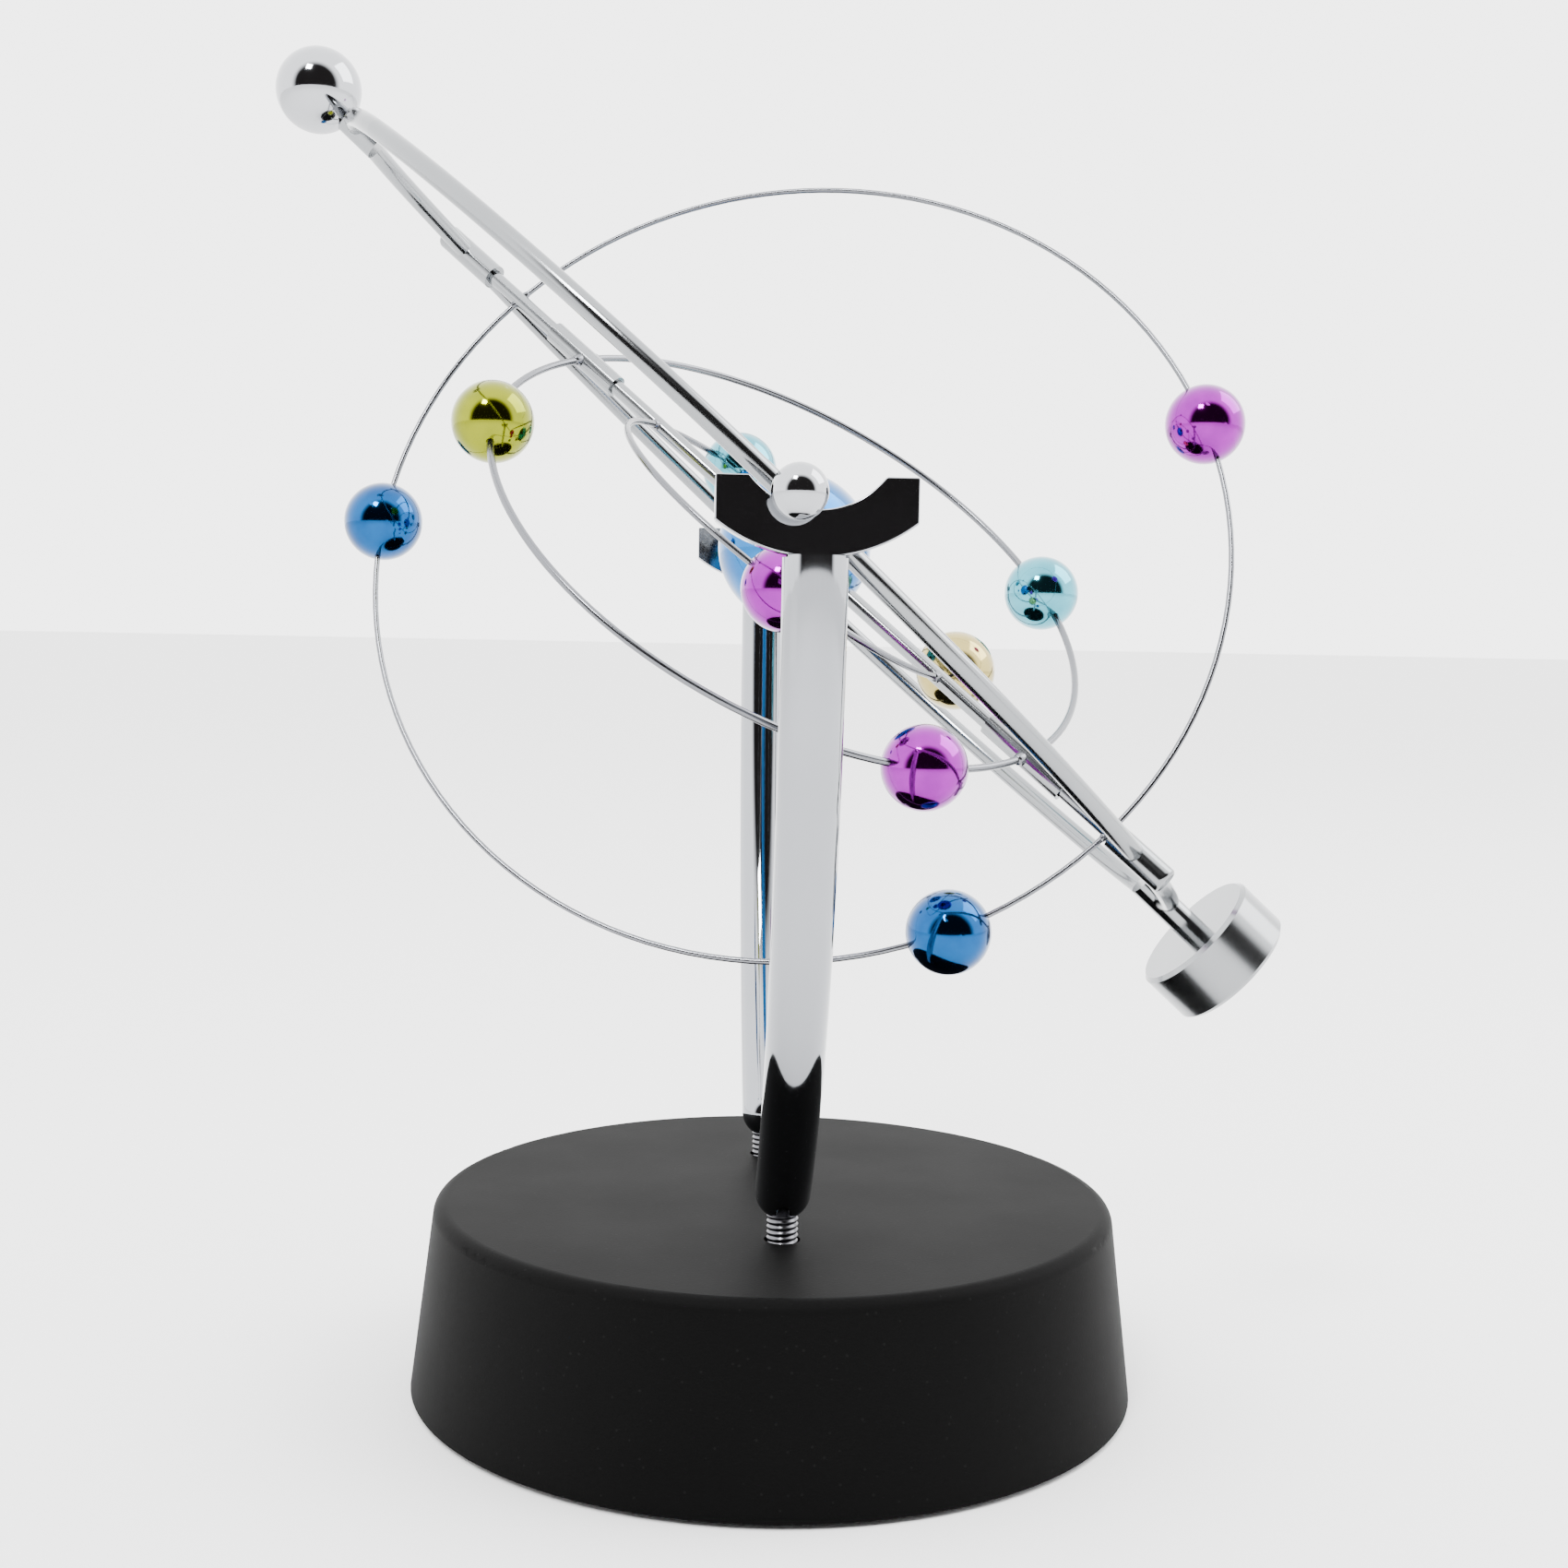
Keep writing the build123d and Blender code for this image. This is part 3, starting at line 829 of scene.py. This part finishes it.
@dataclass
class Studio:
    """White surroundings, a pale floor and the camera."""

    floor_size: float = 40.0
    camera_at: tuple[float, float, float] = (-0.0177, -0.3076, 0.1151)
    yaw: float = math.radians(3.38)
    pitch: float = math.radians(4.24)
    roll: float = math.radians(1.09)
    lens: float = 46.59
    sensor: float = 36.0
    sky_strength: float = 4.4
    dark_end: Colour = (0.010, 0.009, 0.009)
    dark_from: float = -0.36
    dark_to: float = -0.62
    aim: tuple[float, float, float] = (0.0, 0.0, 0.1)

    def build(self) -> None:
        """Make the floor, the world, the lamps and the camera."""
        self.floor()
        self.world()
        self.lamps()
        self.camera()

    def floor(self) -> None:
        """A plain pale floor under the feet."""
        bm = bmesh.new()
        bmesh.ops.create_grid(bm, x_segments=4, y_segments=4, size=self.floor_size / 2)
        mesh = bpy.data.meshes.new("floor")
        bm.to_mesh(mesh)
        bm.free()
        plane = bpy.data.objects.new("floor", mesh)
        bpy.context.scene.collection.objects.link(plane)
        material, shader = _material("floor_white")
        shader.inputs["Base Color"].default_value = (0.93, 0.93, 0.93, 1.0)
        shader.inputs["Roughness"].default_value = 0.8
        shader.inputs["Specular IOR Level"].default_value = 0.1
        mesh.materials.append(material)

    def world(self) -> None:
        """White all round, fading to a dark end of the room that the polished metal mirrors."""
        world = bpy.data.worlds.new("studio")
        bpy.context.scene.world = world
        world.use_nodes = True
        tree = world.node_tree
        sky = tree.nodes["Background"]
        sky.inputs["Strength"].default_value = self.sky_strength
        place = tree.nodes.new("ShaderNodeTexCoord")
        apart = tree.nodes.new("ShaderNodeSeparateXYZ")
        front = tree.nodes.new("ShaderNodeMapRange")
        front.interpolation_type = "SMOOTHSTEP"
        front.inputs["From Min"].default_value = self.dark_from
        front.inputs["From Max"].default_value = self.dark_to
        blend = tree.nodes.new("ShaderNodeMix")
        blend.data_type = "RGBA"
        blend.inputs[6].default_value = (1.0, 1.0, 1.0, 1.0)
        blend.inputs[7].default_value = (*self.dark_end, 1.0)
        tree.links.new(place.outputs["Generated"], apart.inputs["Vector"])
        tree.links.new(apart.outputs["Y"], front.inputs["Value"])
        tree.links.new(front.outputs["Result"], blend.inputs[0])
        tree.links.new(blend.outputs[2], sky.inputs["Color"])

    def lamps(self) -> None:
        """Two soft boxes, high left and right."""
        for name, at, size, power in (
            ("key", (-0.35, -0.65, 0.95), 0.22, 9.0),
            ("fill", (0.9, 0.1, 0.9), 0.8, 12.0),
        ):
            data = bpy.data.lights.new(name, "AREA")
            data.size = size
            data.energy = power
            lamp = bpy.data.objects.new(name, data)
            lamp.location = at
            lamp.rotation_euler = (Vector(self.aim) - Vector(at)).to_track_quat("-Z", "Y").to_euler()
            bpy.context.scene.collection.objects.link(lamp)

    def camera(self) -> None:
        """The camera, from its yaw to the right, its pitch down and its roll."""
        ahead = Vector(
            (
                math.sin(self.yaw) * math.cos(self.pitch),
                math.cos(self.yaw) * math.cos(self.pitch),
                -math.sin(self.pitch),
            )
        )
        level = Vector((math.cos(self.yaw), -math.sin(self.yaw), 0))
        upward = level.cross(ahead)
        right = math.cos(self.roll) * level + math.sin(self.roll) * upward
        top = -math.sin(self.roll) * level + math.cos(self.roll) * upward
        turn = Matrix((right, top, -ahead)).transposed().to_4x4()
        data = bpy.data.cameras.new("camera")
        data.lens = self.lens
        data.sensor_width = self.sensor
        data.clip_start = 0.01
        camera = bpy.data.objects.new("camera", data)
        camera.matrix_world = Matrix.Translation(self.camera_at) @ turn
        bpy.context.scene.collection.objects.link(camera)
        bpy.context.scene.camera = camera


def main() -> None:
    """Build every piece, dress it and set the studio."""
    logging.basicConfig(level=logging.INFO, format="%(name)s: %(message)s")
    for slot, finish in FINISHES.items():
        MATERIALS[slot] = finish.build()
    dress_packed_nodes()
    makers = [
        *(Yoke(f"{side}_yoke") for side in ("front", "rear")),
        *(Stud(f"{side}_post_stud") for side in ("front", "rear")),
        CoilWinding(),
        WeightCase(),
        SolderJoints("large", "large_orbit", 64.75 * MM, 0.62 * MM, 1.9 * MM),
        SolderJoints("medium", "medium_orbit", 48.5 * MM, 1.0 * MM, 2.8 * MM),
        SolderJoints("small", "small_orbit", 30.8 * MM, 0.85 * MM, 2.1 * MM),
    ]
    for maker in makers:
        maker.build()
        LOG.info("built %s", type(maker).__name__)
    Studio().build()


if __name__ == "__main__":
    main()
